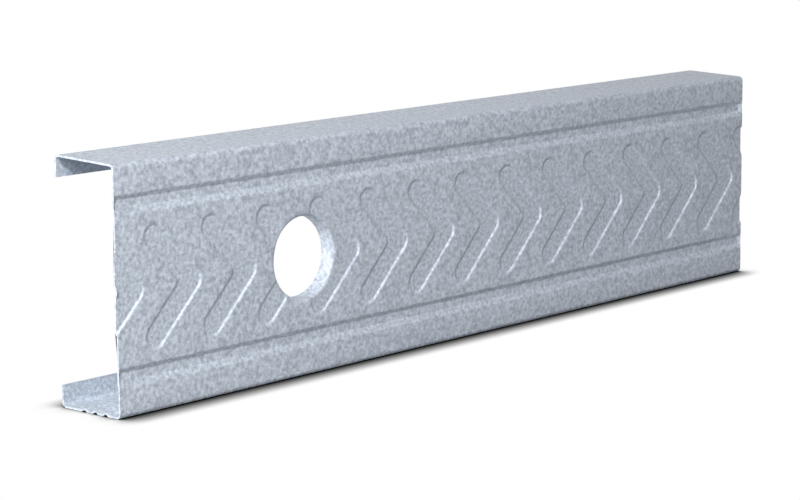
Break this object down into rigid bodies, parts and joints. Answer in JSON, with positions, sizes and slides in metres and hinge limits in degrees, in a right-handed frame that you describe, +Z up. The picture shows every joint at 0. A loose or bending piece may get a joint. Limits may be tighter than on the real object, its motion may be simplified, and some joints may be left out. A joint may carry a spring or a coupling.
{
  "type": "steel stud",
  "caption": "Short cut length of galvanised C-shaped steel stud with lips, long grooves, pressed chevrons in the web and a flared service hole.",
  "frame": {"origin": "below the middle of the stud, on the surface that its lower flange stands on", "axes": "+X along the stud, -Y is the way the web's outer face looks, +Y from the web to the lips, +Z up across the web"},
  "size_m": [0.39, 0.0318, 0.0934],
  "materials": {
    "zinc_sheet": "satin"
  },
  "bodies": {
    "root": {"steel_stud": "zinc_sheet"}
  },
  "joints": []
}
